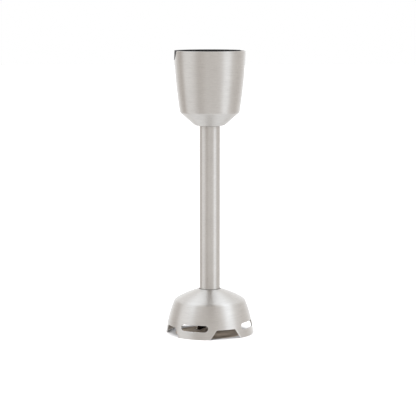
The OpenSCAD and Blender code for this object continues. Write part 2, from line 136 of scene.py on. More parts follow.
class Solid:
    """Vertices with normals, and faces with a texture coordinate at each corner."""

    def __init__(self):
        self.places, self.normals, self.faces, self.coords, self.slots = [], [], [], [], []

    def add(self, place, normal):
        self.places.append(place)
        self.normals.append(normal)
        return len(self.places) - 1

    def face(self, corners, coords, slot=0):
        """Adds a face, without the corners that repeat the one before."""
        kept = [q for q in range(len(corners)) if corners[q] != corners[q - 1]]
        self.faces.append([corners[q] for q in kept])
        self.coords.append([coords[q] for q in kept])
        self.slots.append(slot)

    def bridge(self, low, high, slot=0):
        """Quads between two rings, each (vertices, coordinates). The outside is on the right of low's way."""
        (ring_a, coords_a), (ring_b, coords_b) = low, high
        for j in range(len(ring_a)):
            n, m = (j + 1) % len(ring_a), (j + 1) % len(coords_a)
            self.face([ring_a[j], ring_a[n], ring_b[n], ring_b[j]],
                      [coords_a[j], coords_a[m], coords_b[m], coords_b[j]], slot)

    def lathe(self, rows, segments, closed):
        """Spins an outline of smooth_outline about +Z. An open outline ends on the axis."""
        rings, run, turns = [], 0, [TAU * j / segments for j in range(segments)]
        for i, (r, z, nr, nz) in enumerate(rows):
            if i:
                run += math.hypot(r - rows[i - 1][0], z - rows[i - 1][1])
            if r < 1e-7:
                ring = [self.add((0, 0, z), (0, 0, math.copysign(1, nz)))] * segments
            else:
                ring = [self.add((r * math.cos(a), r * math.sin(a), z), (nr * math.cos(a), nr * math.sin(a), nz))
                        for a in turns]
            rings.append((ring, around(run, segments)))
        if closed:
            run += math.hypot(rows[0][0] - rows[-1][0], rows[0][1] - rows[-1][1])
            rings.append((rings[0][0], around(run, segments)))
        for a, b in zip(rings, rings[1:]):
            self.bridge(a, b)

    def make(self, name, materials):
        mesh = bpy.data.meshes.new(name)
        mesh.from_pydata(self.places, [], self.faces)
        layer = mesh.uv_layers.new(name="turning")
        layer.data.foreach_set("uv", [v for coords in self.coords for uv in coords for v in uv])
        mesh.polygons.foreach_set("use_smooth", [True] * len(self.faces))
        mesh.polygons.foreach_set("material_index", self.slots)
        for material in materials:
            mesh.materials.append(material)
        mesh.normals_split_custom_set_from_vertices([Vector(n).normalized() for n in self.normals])
        mesh.validate()
        return added(name, mesh)


def spun(name, section, material, segments=96, closed=True):
    """One turned solid from a section in millimetres, counter-clockwise in (radius, height)."""
    solid = Solid()
    solid.lathe(smooth_outline(scaled(section), closed), segments, closed)
    return solid.make(name, [material])


class Profile:
    """Outside of a turned sheet, from its free edge to its other end, by distance along it."""

    def __init__(self, points):
        self.falls = points[0][1] > points[-1][1]
        side = -1 if self.falls else 1
        outline = smooth_outline(scaled(points), closed=False, step=6)
        self.rows = [(r, z, side * nr, side * nz) for r, z, nr, nz in outline]
        self.run = [0]
        for a, b in zip(self.rows, self.rows[1:]):
            self.run.append(self.run[-1] + math.hypot(b[0] - a[0], b[1] - a[1]))

    def at(self, s):
        """(radius, height, normal r, normal z) at the distance s along the sheet."""
        k = 0
        while k < len(self.run) - 2 and self.run[k + 1] < s:
            k += 1
        t = (s - self.run[k]) / (self.run[k + 1] - self.run[k])
        mix = [p + (q - p) * t for p, q in zip(self.rows[k], self.rows[k + 1])]
        return mix[0], mix[1], *unit(mix[2], mix[3])

    def height(self, z):
        """Distance along the sheet at which it has the height z, near its free edge."""
        for k, (a, b) in enumerate(zip(self.rows, self.rows[1:])):
            if (a[1] - z) * (b[1] - z) <= 0 and a[1] != b[1]:
                return self.run[k] + (self.run[k + 1] - self.run[k]) * (z - a[1]) / (b[1] - a[1])
        return 0.0 if abs(z - self.rows[0][1]) < abs(z - self.rows[-1][1]) else self.run[-1]


EDGE_STEPS = 3        # steps in each quarter of a sheet's rounded edge
SHEET_SEGMENTS = 256  # round a sheet
SHEET_ROW = 1.0 * MM  # between the rows of vertices round its holes


def cut_sheet(name, profile, thickness, edge_r, free_edge, holes, band, materials):
    """Turned sheet with a shaped free edge and holes, and all its edges rounded, in metres.

    profile runs from the free edge inwards. free_edge is a list of (angle, run) that goes round once, and
    starts where the sheet may have its seam. holes are closed lists of (angle, run). Both keep the sheet on
    their left when seen from outside with +run up. band is the run past which the sheet is plain. The
    materials are those of the outside, the edges and the inside.
    """
    solid = Solid()

    def place(angle, run, depth, lean=None):
        """Adds a vertex at a depth under the outside. lean is (angle part, run part, tilt) of an edge's normal."""
        r, z, nr, nz = profile.at(run)
        c, s = math.cos(angle), math.sin(angle)
        normal = Vector((nr * c, nr * s, nz))
        spot = Vector((r * c, r * s, z)) - normal * depth
        if not profile.falls:
            spot.z = max(spot.z, profile.rows[0][1])
        if lean is None:
            return solid.add(spot[:], (normal if depth < thickness / 2 else -normal)[:])
        inward = Vector((-nz * c, -nz * s, nr)) * (-1 if profile.falls else 1)
        side = (Vector((-s, c, 0)) * lean[0] + inward * lean[1]).normalized()
        return solid.add(spot[:], (side * math.cos(lean[2]) + normal * math.sin(lean[2]))[:])

    # a rounded edge from the outside to the inside: how far in, how deep, and the tilt of its normal
    quarter = [math.pi / 2 * k / EDGE_STEPS for k in range(EDGE_STEPS + 1)]
    rounding = [(edge_r * (1 - math.cos(a)), edge_r * (1 - math.sin(a)), a) for a in reversed(quarter)]
    rounding += [(inset, thickness - depth, -tilt) for inset, depth, tilt in reversed(rounding)]

    def edge_rings(loop):
        """Rings of ((angle, run), vertex) over the rounding of an edge."""
        into_sheet = []
        for i, (_, run) in enumerate(loop):
            before, after = loop[i - 1], loop[(i + 1) % len(loop)]
            way = math.remainder(after[0] - before[0], TAU) * profile.at(run)[0]
            tx, ty = unit(way, after[1] - before[1])
            into_sheet.append((-ty, tx))
        rings = []
        for inset, depth, tilt in rounding:
            ring = []
            for (angle, run), (mx, my) in zip(loop, into_sheet):
                spot = (angle + inset * mx / profile.at(run)[0], run + inset * my)
                ring.append((spot, place(*spot, depth, (-mx, -my, tilt))))
            rings.append(ring)
        return rings

    loops = [edge_rings(loop) for loop in [free_edge, *holes]]
    scale = profile.at(band)[0]
    (start, first_run), first_out = loops[0][0][0]
    columns = [start + TAU * j / SHEET_SEGMENTS for j in range(SHEET_SEGMENTS + 1)]

    # flat points of the band, each with its vertex on the outside and on the inside
    flat, outside, inside = [], [], []

    def flat_point(angle, run, out, inn):
        flat.append(Vector((angle * scale, run)))
        outside.append(out)
        inside.append(inn)
        return len(flat) - 1

    polygons = [[flat_point(*a[0], a[1], b[1]) for a, b in zip(rings[0], rings[-1])] for rings in loops]
    # the free edge goes round once, so its first point is repeated a turn further on
    polygons[0].append(flat_point(start + TAU, first_run, first_out, loops[0][-1][0][1]))
    top_out, top_in = ([place(angle, band, depth) for angle in columns[:-1]] for depth in (0, thickness))
    top = [flat_point(angle, band, out, inn)
           for angle, out, inn in zip(columns, top_out + top_out[:1], top_in + top_in[:1])]
    seam_rows = max(1, round((band - first_run) / SHEET_ROW))
    left, right = [], []
    for k in range(1, seam_rows):
        run = first_run + (band - first_run) * k / seam_rows
        pair = place(start, run, 0), place(start, run, thickness)
        left.append(flat_point(start, run, *pair))
        right.append(flat_point(start + TAU, run, *pair))
    polygons[0] += right + top[::-1] + left[::-1]
    edges = [pair for ids in polygons for pair in zip(ids, ids[1:] + ids[:1])]
    walls = [(flat[i], flat[j]) for i, j in edges]

    def in_sheet(p):
        """Whether a flat point is inside the border and outside the holes."""
        spanning = ((a, b) for a, b in walls if (a.y > p.y) != (b.y > p.y))
        return sum(p.x < a.x + (b.x - a.x) * (p.y - a.y) / (b.y - a.y) for a, b in spanning) % 2 == 1

    reach = 0.45 * SHEET_ROW
    rows_in_band = max(1, round(band / SHEET_ROW))
    for k in range(1, rows_in_band):
        run = band * k / rows_in_band
        for angle in columns[1:-1]:
            p = Vector((angle * scale, run))
            if in_sheet(p) and all(abs(q.x - p.x) > reach or abs(q.y - p.y) > reach for q, _ in walls):
                flat_point(angle, run, place(angle, run, 0), place(angle, run, thickness))

    points, _, triangles, origins, _, _ = delaunay_2d_cdt(flat, edges, [], 0, 1e-9, True)
    for triangle in triangles:
        if not in_sheet(sum((points[i] for i in triangle), Vector((0, 0))) / 3):
            continue
        ids = [origins[i][0] for i in triangle]
        a, b, c = (flat[i] for i in ids)
        if ((b - a).cross(c - a) < 0) != profile.falls:
            ids.reverse()
        coords = [(flat[i].x / scale / TAU, flat[i].y) for i in ids]
        solid.face([outside[i] for i in ids], coords)
        solid.face([inside[i] for i in reversed(ids)], coords[::-1], slot=2)

    # rounded edges of the free edge and the holes
    for rings in loops:
        strips = [([v for _, v in ring], [(angle / TAU, run) for (angle, run), _ in ring]) for ring in rings]
        for a, b in zip(strips, strips[1:]):
            solid.bridge(*((a, b) if profile.falls else (b, a)), slot=1)

    # plain part, and the rounded edge at its far end
    end = profile.run[-1]
    runs = [s for s in profile.run if band + 0.1 * MM < s < end - edge_r - 1e-6]
    stations = [(s, 0, None) for s in runs]
    stations += [(end - inset, depth, (0, 1, tilt)) for inset, depth, tilt in rounding]
    stations += [(s, thickness, None) for s in reversed(runs)]
    rings = [(band, 0, top_out)]
    for run, depth, lean in stations:
        rings.append((run, depth, [place(angle, run, depth, lean) for angle in columns[:-1]]))
    rings.append((band, thickness, top_in))
    for (run_a, depth_a, ring_a), (run_b, depth_b, ring_b) in zip(rings, rings[1:]):
        pair = [(ring, around(run, SHEET_SEGMENTS, start / TAU)) for run, ring in ((run_a, ring_a), (run_b, ring_b))]
        within = min(depth_a, depth_b) > thickness - 1e-7
        solid.bridge(*(pair[::-1] if profile.falls else pair), slot=2 if within else 0)
    return solid.make(name, materials)


def finish_mesh(piece, crease=30.0):
    """Smooth shading that stops at edges sharper than crease degrees."""
    piece.data.polygons.foreach_set("use_smooth", [True] * len(piece.data.polygons))
    piece.data.set_sharp_from_angle(angle=math.radians(crease))
    piece.data.update()
    return piece


def bevelled(piece, width, angle):
    """Rounds the edges of a piece that are sharper than angle degrees by width, in millimetres."""
    bevel = piece.modifiers.new("edges", "BEVEL")
    bevel.width = width * MM
    bevel.segments = 2
    bevel.limit_method = "ANGLE"
    bevel.angle_limit = math.radians(angle)
    bevel.use_clamp_overlap = True
    bevel.harden_normals = False
    return piece


def mesh_piece(name, places, faces, materials, crease=30.0):
    mesh = bpy.data.meshes.new(name)
    mesh.from_pydata(places, [], faces)
    mesh.validate()
    for material in materials:
        mesh.materials.append(material)
    return finish_mesh(added(name, mesh), crease)


def loft(name, stations, material, count=120, closed=True, crease=30.0):
    """Solid through rings at (height, radius as a number or a function of the angle), in millimetres.

    The rings go counter-clockwise in (radius, height). An open loft starts and ends on the axis.
    """
    places, faces, rings = [], [], []
    for height, radius in stations:
        first = len(places)
        if radius == 0:
            places.append((0, 0, height * MM))
            rings.append([first] * count)
            continue
        for a in (TAU * j / count for j in range(count)):
            r = (radius(a) if callable(radius) else radius) * MM
            places.append((r * math.cos(a), r * math.sin(a), height * MM))
        rings.append(list(range(first, first + count)))
    for low, high in zip(rings, rings[1:] + (rings[:1] if closed else [])):
        for j in range(count):
            n = (j + 1) % count
            corners = [low[j], low[n], high[n], high[j]]
            faces.append([v for q, v in enumerate(corners) if v != corners[q - 1]])
    return mesh_piece(name, places, faces, [material], crease)


def prism(name, outline, z0, z1):
    """Upright block over an outline of (x, y), in millimetres, counter-clockwise."""
    count = len(outline)
    places = [(x * MM, y * MM, z * MM) for z in (z0, z1) for x, y in outline]
    faces = [list(range(count))[::-1], list(range(count, 2 * count))]
    faces += [[j, (j + 1) % count, count + (j + 1) % count, count + j] for j in range(count)]
    return mesh_piece(name, places, faces, [])


def block(name, x0, x1, y0, y1, z0, z1):
    return prism(name, [(x0, y0), (x1, y0), (x1, y1), (x0, y1)], z0, z1)


def turned_by(piece, degrees):
    """Turns a piece's mesh about +Z."""
    piece.data.transform(Matrix.Rotation(math.radians(degrees), 4, "Z"))
    return piece


def moved_by(piece, x, y, z):
    """Moves a piece's mesh, in millimetres."""
    piece.data.transform(Matrix.Translation((x * MM, y * MM, z * MM)))
    return piece


def combine(piece, tools, operation, material=None):
    """Cuts, joins or intersects a piece with other pieces, which are used up, and may give it one material."""
    for tool in tools:
        step = piece.modifiers.new("step", "BOOLEAN")
        step.operation = operation
        step.solver = "EXACT"
        step.object = tool
    made = bpy.data.meshes.new_from_object(piece.evaluated_get(bpy.context.evaluated_depsgraph_get()))
    piece.modifiers.clear()
    old = piece.data
    piece.data = made
    made.name = old.name
    bpy.data.meshes.remove(old)
    for tool in tools:
        used = tool.data
        bpy.data.objects.remove(tool)
        bpy.data.meshes.remove(used)
    finish_mesh(piece)
    if material:
        made.materials.clear()
        made.materials.append(material)


# ---------------------------------------------------------------- materials

class Nodes:
    """Short way to write the nodes of a material or a world."""

    def __init__(self, owner):
        owner.use_nodes = True
        self.owner, self.tree = owner, owner.node_tree
        self.links = self.tree.links
        self.shader = self.tree.nodes.get("Principled BSDF")

    def node(self, kind, **settings):
        made = self.tree.nodes.new(kind)
        for key, value in settings.items():
            setattr(made, key, value)
        return made

    def set(self, **values):
        """Sets the shader's sockets, with _ for a space in their names."""
        for key, value in values.items():
            self.shader.inputs[key.replace("_", " ")].default_value = value

    def plug(self, value, socket):
        if isinstance(value, bpy.types.NodeSocket):
            self.links.new(value, socket)
        else:
            socket.default_value = value

    def math(self, operation, a, b=0.0, c=0.0):
        made = self.node("ShaderNodeMath", operation=operation)
        for socket, value in zip(made.inputs, (a, b, c)):
            self.plug(value, socket)
        return made.outputs[0]

    def blend(self, a, share, b):
        """share of a and the rest of b."""
        return self.math("MULTIPLY_ADD", a, share, self.math("MULTIPLY", b, 1 - share))

    def place(self):
        return self.node("ShaderNodeTexCoord").outputs["Object"]

    def parts(self, vector):
        made = self.node("ShaderNodeSeparateXYZ")
        self.links.new(vector, made.inputs[0])
        return made.outputs

    def noise(self, vector, scale, detail=3.0, roughness=0.55):
        made = self.node("ShaderNodeTexNoise")
        for name, value in (("Scale", scale), ("Detail", detail), ("Roughness", roughness), ("Vector", vector)):
            self.plug(value, made.inputs[name])
        return made.outputs["Fac"]

    def spread(self, value, low=0.0, high=1.0, start=0.3, end=0.7, way="LINEAR"):
        """Maps start to end onto low to high. Noises mostly lie between 0.3 and 0.7."""
        made = self.node("ShaderNodeMapRange", interpolation_type=way)
        for name, number in (("From Min", start), ("From Max", end), ("To Min", low), ("To Max", high)):
            made.inputs[name].default_value = number
        self.links.new(value, made.inputs["Value"])
        return made.outputs["Result"]

    def colours(self, value, dark, light):
        """Mixes two linear colours by value, from 0 to 1."""
        made = self.node("ShaderNodeMix", data_type="RGBA")
        for name, colour in (("A", dark), ("B", light)):
            self.plug(colour if isinstance(colour, bpy.types.NodeSocket) else (*colour, 1), made.inputs[name])
        self.plug(value, made.inputs["Factor"])
        return made.outputs["Result"]

    def paint(self, colour, roughness):
        self.plug(colour, self.shader.inputs["Base Color"])
        self.plug(roughness, self.shader.inputs["Roughness"])

    def bump(self, height, distance):
        """Bump of a height from 0 to 1, over distance in metres."""
        made = self.node("ShaderNodeBump")
        made.inputs["Distance"].default_value = distance
        made.inputs["Strength"].default_value = 1.0
        self.links.new(height, made.inputs["Height"])
        self.links.new(made.outputs["Normal"], self.shader.inputs["Normal"])

    def turning(self, run, along, across):
        """Coordinates for marks that run round the axis, scaled along and across the marks.

        Across them they follow the section ("turning"), the radius or the height.
        """
        x, y, z = self.parts(self.place())
        square = self.math("ADD", self.math("MULTIPLY", x, x), self.math("MULTIPLY", y, y))
        radius = self.math("MAXIMUM", self.math("SQRT", square), 1e-6)
        if run == "turning":
            over = self.parts(self.node("ShaderNodeUVMap", uv_map="turning").outputs[0])[1]
        else:
            over = radius if run == "radius" else z
        joined = self.node("ShaderNodeCombineXYZ")
        for socket, value in zip(joined.inputs, (x, y)):
            self.links.new(self.math("MULTIPLY", self.math("DIVIDE", value, radius), along), socket)
        self.links.new(self.math("MULTIPLY", over, across), joined.inputs[2])
        return joined.outputs[0]


def brushed_metal(name, dark, light, roughness, anisotropy, run="turning", groove=2.0e-6, painted_shade=None):
    """Metal with fine marks round the axis. The last argument, if given, paints shade: (colour, height it starts at,
    height it is full at), which the colour turns into higher up.
    """
    n = Nodes(bpy.data.materials.new(name))
    fine = n.noise(n.turning(run, 9, 7000), 1.0, 2.0)
    wide = n.noise(n.turning(run, 3, 1300), 1.0)
    cloud = n.noise(n.place(), 45.0)
    marks = n.blend(fine, 0.6, wide)
    tone = n.blend(marks, 0.75, cloud)
    colour = n.colours(n.spread(tone), dark, light)
    # painted shade: above a height the colour turns into a darker one, for the shade deep in a hollow
    if painted_shade:
        height = n.math("MULTIPLY_ADD", cloud, 0.006, n.parts(n.place())[2])
        colour = n.colours(n.spread(height, start=painted_shade[1], end=painted_shade[2]), colour, painted_shade[0])
    n.paint(colour, n.spread(tone, roughness * 1.12, roughness * 0.9))
    # the quarter turn makes reflections stretch across the marks
    n.set(Metallic=1.0, Anisotropic=anisotropy, Anisotropic_Rotation=0.25)
    tangent = n.node("ShaderNodeTangent", direction_type="RADIAL", axis="Z")
    n.links.new(tangent.outputs[0], n.shader.inputs["Tangent"])
    n.bump(marks, groove)
    return n.owner


def polished_metal(name, dark, light, roughness, grain=900.0, metallic=1.0):
    """Metal with faint polishing marks and small scratches."""
    n = Nodes(bpy.data.materials.new(name))
    along = n.node("ShaderNodeMapping")
    along.inputs["Scale"].default_value = (grain, grain * 0.06, grain)
    along.inputs["Rotation"].default_value = (0.0, 0.0, 0.4)
    n.links.new(n.place(), along.inputs["Vector"])
    marks = n.noise(along.outputs[0], 1.0, 4.0, 0.65)
    tone = n.blend(marks, 0.6, n.noise(n.place(), 120.0))
    n.paint(n.colours(n.spread(tone), dark, light), n.spread(tone, roughness * 1.25, roughness * 0.8))
    n.set(Metallic=metallic)
    n.bump(marks, 1.5e-6)
    return n.owner


def moulded_plastic(name, dark, light, roughness, grain=9000.0, shine=0.45):
    """Plastic with the fine grain of its mould, and a slow change of tone."""
    n = Nodes(bpy.data.materials.new(name))
    grains = n.noise(n.place(), grain, 2.0, 0.6)
    tone = n.blend(grains, 0.5, n.noise(n.place(), 160.0))
    n.paint(n.colours(n.spread(tone), dark, light), n.spread(tone, roughness * 1.15, roughness * 0.85))
    n.set(IOR=1.49, Specular_IOR_Level=shine)
    n.bump(grains, 8.0e-6)
    return n.owner


def porous_bronze(name):
    """Sintered bronze: a grainy tone with small dark pores."""
    n = Nodes(bpy.data.materials.new(name))
    cells = n.node("ShaderNodeTexVoronoi")
    cells.inputs["Scale"].default_value = 5200.0
    n.links.new(n.place(), cells.inputs["Vector"])
    pores = n.spread(cells.outputs["Distance"], start=0.12, end=0.4)
    tone = n.math("MULTIPLY", pores, n.spread(n.noise(n.place(), 500.0, 4.0), 0.6))
    n.paint(n.colours(tone, (0.23, 0.13, 0.06), (0.62, 0.43, 0.22)), n.spread(tone, 0.55, 0.34, 0.0, 1.0))
    n.set(Metallic=0.9)
    n.bump(pores, 2.0e-5)
    return n.owner


def floor_material(name, blue):
    """Pale matt floor whose tone wanders a little. blue is its least reflectance."""
    n = Nodes(bpy.data.materials.new(name))
    dark, light = (0.76, (0.76 + blue) / 2, blue), (0.78, (0.78 + blue) / 2, blue + 0.02)
    n.plug(n.colours(n.spread(n.noise(n.place(), 3.0, 4.0)), dark, light), n.shader.inputs["Base Color"])
    n.set(Roughness=0.9, Specular_IOR_Level=0.1)
    return n.owner


BRUSHED = brushed_metal("brushed_steel", (0.68, 0.667, 0.65), (0.86, 0.847, 0.828), 0.38, 0.85)
# painted shade and warm reflection: the guard's inside gets a dark brown steel colour, darker still from 12 mm to 24
# mm up, for the shade and warm bounce inside the guard
INNER = brushed_metal("inside_steel_painted_shade", (0.15, 0.125, 0.10), (0.27, 0.235, 0.20), 0.5, 0.3, groove=4.0e-6,
                      painted_shade=((0.045, 0.026, 0.014), 0.012, 0.024))
CUT_EDGE = brushed_metal("cut_edge_steel", (0.80, 0.79, 0.77), (0.92, 0.91, 0.89), 0.24, 0.3, groove=1.0e-6)
# painted shade: the dark tone of the weld beads stands for the shade in the joints of the tube with the cup and the
# guard
WELD_SHADE = brushed_metal("weld_steel_painted_shade", (0.17, 0.16, 0.15), (0.30, 0.29, 0.28), 0.45, 0.2, groove=6.0e-6)
TURNED = brushed_metal("turned_steel", (0.56, 0.56, 0.56), (0.74, 0.74, 0.73), 0.24, 0.5, run="z")
FACED = brushed_metal("faced_steel", (0.56, 0.56, 0.56), (0.74, 0.74, 0.73), 0.26, 0.5, run="radius")
BLADE = polished_metal("blade_steel", (0.62, 0.61, 0.60), (0.76, 0.75, 0.74), 0.16)
# painted reflection: the ground bevel is real, and its dark brown tone stands for the warm reflection it shows
# inside the guard
GROUND = polished_metal("ground_steel_painted_reflection", (0.38, 0.33, 0.28), (0.52, 0.46, 0.40), 0.35, grain=2600.0, metallic=0.15)
FASTENER = polished_metal("fastener_steel", (0.60, 0.60, 0.60), (0.74, 0.74, 0.74), 0.14)
SPRING = polished_metal("spring_steel", (0.42, 0.42, 0.43), (0.58, 0.58, 0.59), 0.3, grain=1500.0)
BLACK = moulded_plastic("black_plastic", (0.010, 0.010, 0.0105), (0.020, 0.020, 0.0205), 0.42, shine=0.12)
GREY = moulded_plastic("grey_plastic", (0.36, 0.37, 0.38), (0.46, 0.47, 0.48), 0.48)
RUBBER = moulded_plastic("black_rubber", (0.018, 0.018, 0.018), (0.030, 0.030, 0.030), 0.62, grain=6000.0)
BRONZE = porous_bronze("sintered_bronze")


# ---------------------------------------------------------------- camera, light and floor

def camera():
    data = bpy.data.cameras.new("camera")
    data.sensor_width = 36.0
    data.lens = 147.03
    data.clip_start, data.clip_end = 0.05, 50.0
    made = added("camera", data)
    made.location = (0.0, -1.400, 0.2746)
    target = Vector((-0.00144, 0.0, 0.1046))
    made.rotation_mode = "QUATERNION"
    made.rotation_quaternion = (target - made.location).to_track_quat("-Z", "Y")
    bpy.context.scene.camera = made


# Brightness of the studio by the direction in degrees from the front towards +X: level, above and overhead
STUDIO_SIDES = [
    (-180, 1.05), (-154, 0.98), (-130, 0.66), (-114, 0.50), (-104, 0.52), (-94, 0.86), (-66, 0.76), (-54, 0.62),
    (-38, 0.45), (-24, 0.53), (-10, 0.67), (40, 0.66), (52, 0.96), (68, 1.02), (82, 0.66), (112, 0.60),
    (134, 0.74), (156, 0.98), (180, 1.05),
]
STUDIO_TOP = [
    (-180, 0.76), (-150, 0.90), (-126, 0.96), (-106, 0.92), (-96, 0.96), (-80, 1.22), (-58, 1.34), (-42, 0.84),
    (-22, 0.70), (8, 0.52), (32, 0.62), (46, 0.98), (56, 1.52), (68, 1.44), (82, 1.05), (106, 0.94), (126, 0.96),
    (150, 0.90), (180, 0.76),
]
STUDIO_CAP = [
    (-180, 1.20), (-60, 1.26), (-34, 0.84), (-14, 0.08), (14, 0.08), (34, 0.84), (60, 1.26), (180, 1.20),
]
TOP_FROM, TOP_TO = 8.0, 34.0         # degrees above the horizon over which one turns into the next
CAP_FROM, CAP_TO = 42.0, 60.0
FLOOR_FROM, FLOOR_TO = -20.0, -60.0  # degrees over which the sides turn into the light from the floor
FLOOR_LIGHT = 0.92
WARMTH = 1.12  # power that makes the darker parts of the studio warmer


def studio():
    world = bpy.data.worlds.new("studio")
    bpy.context.scene.world = world
    n = Nodes(world)
    n.tree.nodes.clear()

    def ramp(stops, value):
        made = n.node("ShaderNodeValToRGB")
        made.color_ramp.interpolation = "EASE"
        elements = made.color_ramp.elements
        elements[0].position, elements[1].position = 0.0, 1.0
        for angle, _ in stops[1:-1]:
            elements.new((angle + 180) / 360)
        for element, (_, level) in zip(elements, stops):
            element.color = (level, level**WARMTH, level ** (2 * WARMTH - 1), 1)
        n.links.new(value, made.inputs[0])
        return made.outputs[0]

    def between(value, start, end):
        return n.spread(value, start=math.radians(start), end=math.radians(end), way="SMOOTHSTEP")

    x, y, z = n.parts(n.node("ShaderNodeTexCoord").outputs["Generated"])
    turn = n.math("ADD", n.math("DIVIDE", n.math("ARCTAN2", x, n.math("MULTIPLY", y, -1.0)), TAU), 0.5)
    rise = n.math("ARCSINE", z)
    light = n.colours(between(rise, TOP_FROM, TOP_TO), ramp(STUDIO_SIDES, turn), ramp(STUDIO_TOP, turn))
    light = n.colours(between(rise, CAP_FROM, CAP_TO), light, ramp(STUDIO_CAP, turn))
    below = between(n.math("MULTIPLY", rise, -1.0), -FLOOR_FROM, -FLOOR_TO)
    light = n.colours(below, light, (FLOOR_LIGHT,) * 3)
    # the camera itself sees plain white
    light = n.colours(n.node("ShaderNodeLightPath").outputs["Is Camera Ray"], light, (1.0,) * 3)
    background = n.node("ShaderNodeBackground")
    n.links.new(light, background.inputs["Color"])
    n.links.new(background.outputs[0], n.node("ShaderNodeOutputWorld").inputs[0])


def soft_sun(name, energy, spread, side, height):
    """Wide soft light from a side and a height in degrees, which isn't mirrored in the steel."""
    data = bpy.data.lights.new(name, "SUN")
    data.angle = math.radians(spread)
    data.energy = energy
    made = added(name, data)
    side, height = math.radians(side), math.radians(height)
    towards = Vector((math.sin(side) * math.cos(height), -math.cos(side) * math.cos(height), math.sin(height)))
    made.rotation_mode = "QUATERNION"
    made.rotation_quaternion = towards.to_track_quat("Z", "Y")
    made.visible_glossy = False


def disc(name, radii, z, material):
    """Flat round piece of the floor, with rings of vertices at the radii."""
    count = 96
    places, faces = [(0.0, 0.0, z)], []
    for r in radii:
        places += [(x, y, z) for x, y in circle(0, 0, r, count)]
    for j in range(count):
        n = (j + 1) % count
        faces.append([0, 1 + j, 1 + n])
        for i in range(len(radii) - 1):
            low, high = 1 + i * count, 1 + (i + 1) * count
            faces.append([low + j, high + j, high + n, low + n])
    made = mesh_piece(name, places, faces, [material])
    return made


def floor():
    """Floor whose edge is far away. The outside of the steel reflects the studio instead of it, and the
    inside of the guard reflects a disc of its own."""
    disc("floor", [0.15, 0.5, 1.5, 6.0], -0.00004, floor_material("pale_floor", 0.76)).visible_glossy = False
    # painted light: the disc under the guard is warmer than the floor, for the warm light bounced off the steel
    # inside the guard
    disc("floor_inside_guard", [0.0285], -0.00002, floor_material("floor_painted_warm_bounce", 0.53))


bpy.context.scene.view_settings.view_transform = "Standard"
bpy.context.scene.view_settings.look = "None"
camera()
studio()
soft_sun("overhead", 3.0, 70, 0, 82)
soft_sun("key", 3.2, 14, -38, 15)
floor()


# ---------------------------------------------------------------- places in the frame, in millimetres

def size(node):
    """Radius at +X, lowest height and highest height of a node."""
    low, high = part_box(node)
    return high.x / MM, low.z / MM, high.z / MM


BODIES = {node: body for body, nodes in frame["record"]["behaviour"]["bodies"].items() for node in nodes}


def stands_for(piece, node, in_its_place=True):
    """Puts a piece on the body of a CAD node, and hides the node where the piece takes its place, which is the
    default.
    """
    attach(piece, BODIES[node])
    if in_its_place:
        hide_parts(node)


CUP_R, CUP_Z, CUP_RIM = size("coupling_cup")
GUARD_R, _, GUARD_TOP = size("blade_guard")
TUBE_R, TUBE_LOW, TUBE_TOP = size("outer_tube")
TUBE_BORE = TUBE_R - 0.8      # the tube's wall
PRESS_GAP = 0.05              # between a piece and what it is pressed into
SHAFT_R = size("drive_shaft")[0]
_, LINER_FLOOR, LINER_TOP = size("socket_liner")


# ---------------------------------------------------------------- steel housing

CUP_SHEET = 0.7
CUP_WAIST_R = 24.6
CUP_WAIST_Z = CUP_Z + 10.8
CUP_BASE_R = 12.2
CUP_WAIST_BEND, CUP_BASE_BEND = 2.4, 3.0
CUP_BULGE = 0.82
DIP_R = 12.2
DIP_Z = CUP_RIM - 7.9 + DIP_R        # height of the middle of the dip's circle


def cup_radius(z):
    """Outside radius of the cup's wall: a taper that bows out."""
    t = (z - CUP_WAIST_Z) / (CUP_RIM - CUP_WAIST_Z)
    return CUP_WAIST_R + (CUP_R - CUP_WAIST_R) * t + 4 * CUP_BULGE * t * (1 - t)


def cup():
    rows = 14
    wall = [CUP_RIM + (CUP_WAIST_Z - CUP_RIM) * i / rows for i in range(rows)]
    path = [(cup_radius(z), z) for z in wall]
    path += [(CUP_WAIST_R, CUP_WAIST_Z, CUP_WAIST_BEND), (CUP_BASE_R, CUP_Z, CUP_BASE_BEND)]
    profile = Profile(path + [(TUBE_R + PRESS_GAP, CUP_Z)])
    # the dip, as (y, height) from its one corner to the other, with the corners rounded
    half = math.acos((DIP_Z - CUP_RIM) / DIP_R)
    corner_y, corner_r, run_out, steps = DIP_R * math.sin(half), 0.8, 2, 48
    turns = (half - 0.07 - 2 * (half - 0.07) * k / steps for k in range(steps + 1))
    dip = [(corner_y + run_out, CUP_RIM), (corner_y, CUP_RIM, corner_r)]
    dip += [(DIP_R * math.sin(a), DIP_Z - DIP_R * math.cos(a)) for a in turns]
    dip += [(-corner_y, CUP_RIM, corner_r), (-corner_y - run_out, CUP_RIM)]
    edge = [(math.pi - math.asin(y / cup_radius(z)), profile.height(z * MM))
            for y, z, _, _ in smooth_outline(dip, closed=False, step=12)]
    plain, first, last = 100, edge[0][0], edge[-1][0]
    before = [(first * j / plain, 0.0) for j in range(plain)]
    after = [(last + (TAU - last) * j / plain, 0.0) for j in range(1, plain)]
    stands_for(cut_sheet("cup_shell", profile, CUP_SHEET * MM, 0.22 * MM, before + edge + after, [],
                         11.5 * MM, [BRUSHED, CUT_EDGE, BRUSHED]), "coupling_cup")


